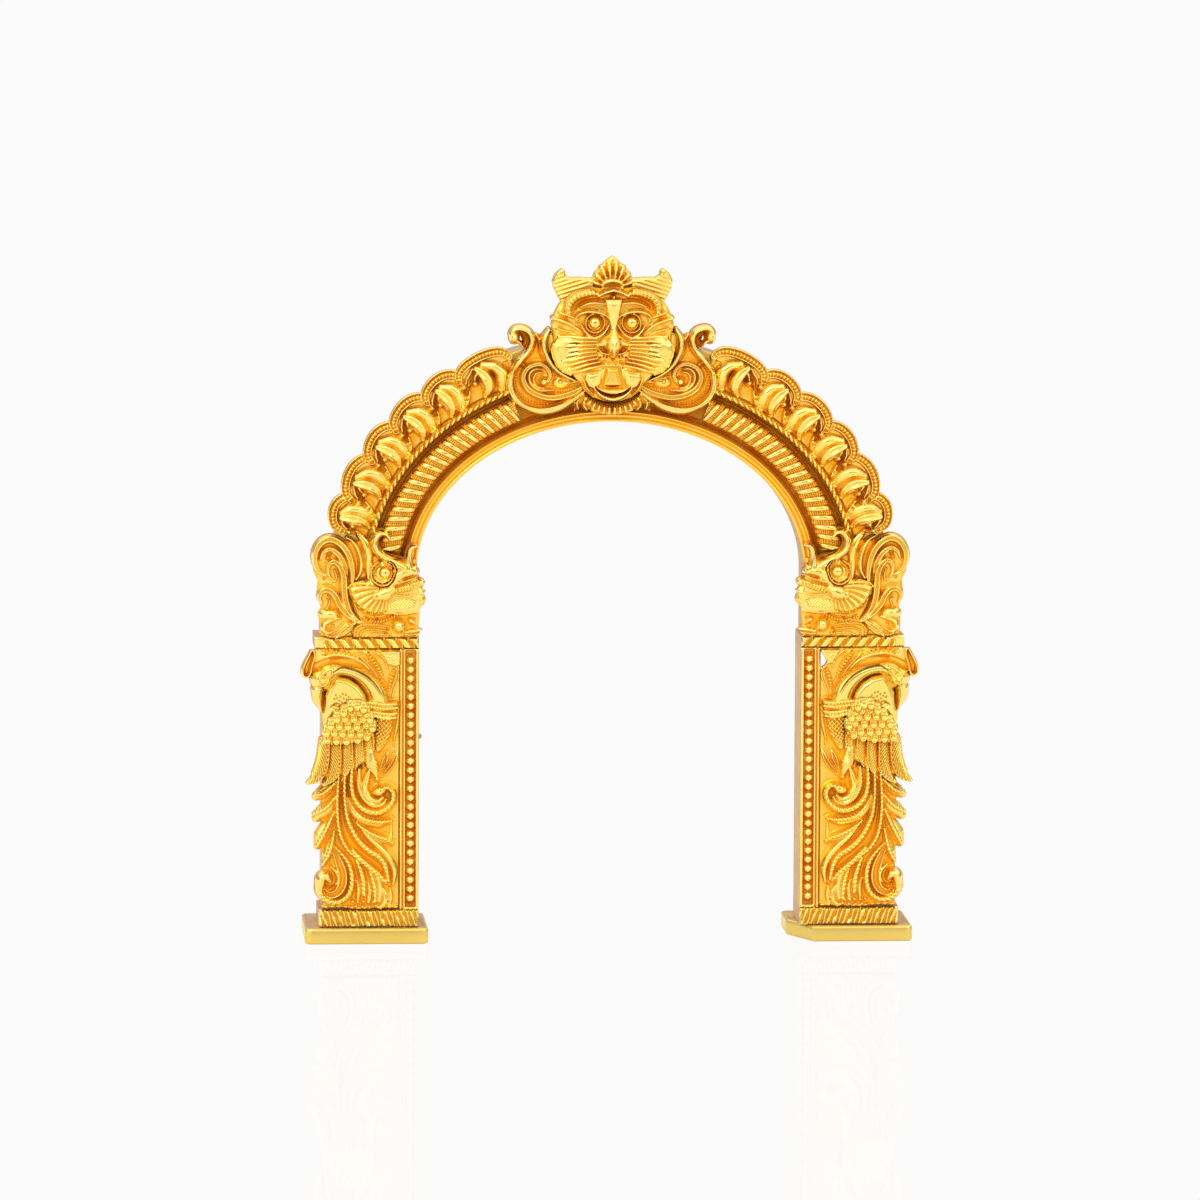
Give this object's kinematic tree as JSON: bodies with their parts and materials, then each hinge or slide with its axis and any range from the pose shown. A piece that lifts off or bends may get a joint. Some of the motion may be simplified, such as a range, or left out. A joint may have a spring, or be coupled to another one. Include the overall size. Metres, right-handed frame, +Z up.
{
  "type": "deity aureole arch",
  "caption": "Free-standing gold-plated shrine arch: two pillars with peacocks carry a moulded arch with water-beast heads, a lobed border and a horned lion mask at its crown.",
  "frame": {"origin": "on the floor, midway between the two feet and midway through the overall depth", "axes": "+Z up, -Y towards the viewer of the ornamented front, +X to that viewer's right"},
  "size_m": [0.1078, 0.0238, 0.12],
  "materials": {
    "relief_gold": "polished gold plating on cast relief",
    "shell_gold": "gold plating over plain cast walls, slightly rough",
    "foot_gold": "gold plating over a ground plate",
    "fastener_brass": "plain turned brass"
  },
  "bodies": {
    "root": {"arch_shell": "shell_gold", "lion_mask": "relief_gold", "crown_leaf": "relief_gold", "beard_ring": "relief_gold", "left_foot_plate": "foot_gold", "right_foot_plate": "foot_gold", "left_plinth": "relief_gold", "right_plinth": "relief_gold", "left_pillar_shell": "shell_gold", "right_pillar_shell": "shell_gold", "left_bead_strip": "relief_gold", "right_bead_strip": "relief_gold", "left_capital": "relief_gold", "right_capital": "relief_gold", "left_peacock_body": "relief_gold", "right_peacock_body": "relief_gold", "left_peacock_wing": "relief_gold", "right_peacock_wing": "relief_gold", "left_crest_spray": "relief_gold", "right_crest_spray": "relief_gold", "left_tail_plumes": "relief_gold", "right_tail_plumes": "relief_gold", "left_beast_head": "relief_gold", "right_beast_head": "relief_gold", "left_beast_plume": "relief_gold", "right_beast_plume": "relief_gold", "left_ribbed_roll": "relief_gold", "right_ribbed_roll": "relief_gold", "left_rope_moulding": "relief_gold", "right_rope_moulding": "relief_gold", "left_vine_band": "relief_gold", "right_vine_band": "relief_gold", "left_cusped_border": "relief_gold", "right_cusped_border": "relief_gold", "left_mask_horn": "relief_gold", "right_mask_horn": "relief_gold", "left_side_scroll": "relief_gold", "right_side_scroll": "relief_gold", "left_foot_screw": "fastener_brass", "right_foot_screw": "fastener_brass", "left_leg_dowel": "fastener_brass", "right_leg_dowel": "fastener_brass", "left_peacock_rivet": "fastener_brass", "right_peacock_rivet": "fastener_brass", "left_beast_rivet": "fastener_brass", "right_beast_rivet": "fastener_brass", "left_mask_rivet": "fastener_brass", "right_mask_rivet": "fastener_brass"}
  },
  "joints": []
}
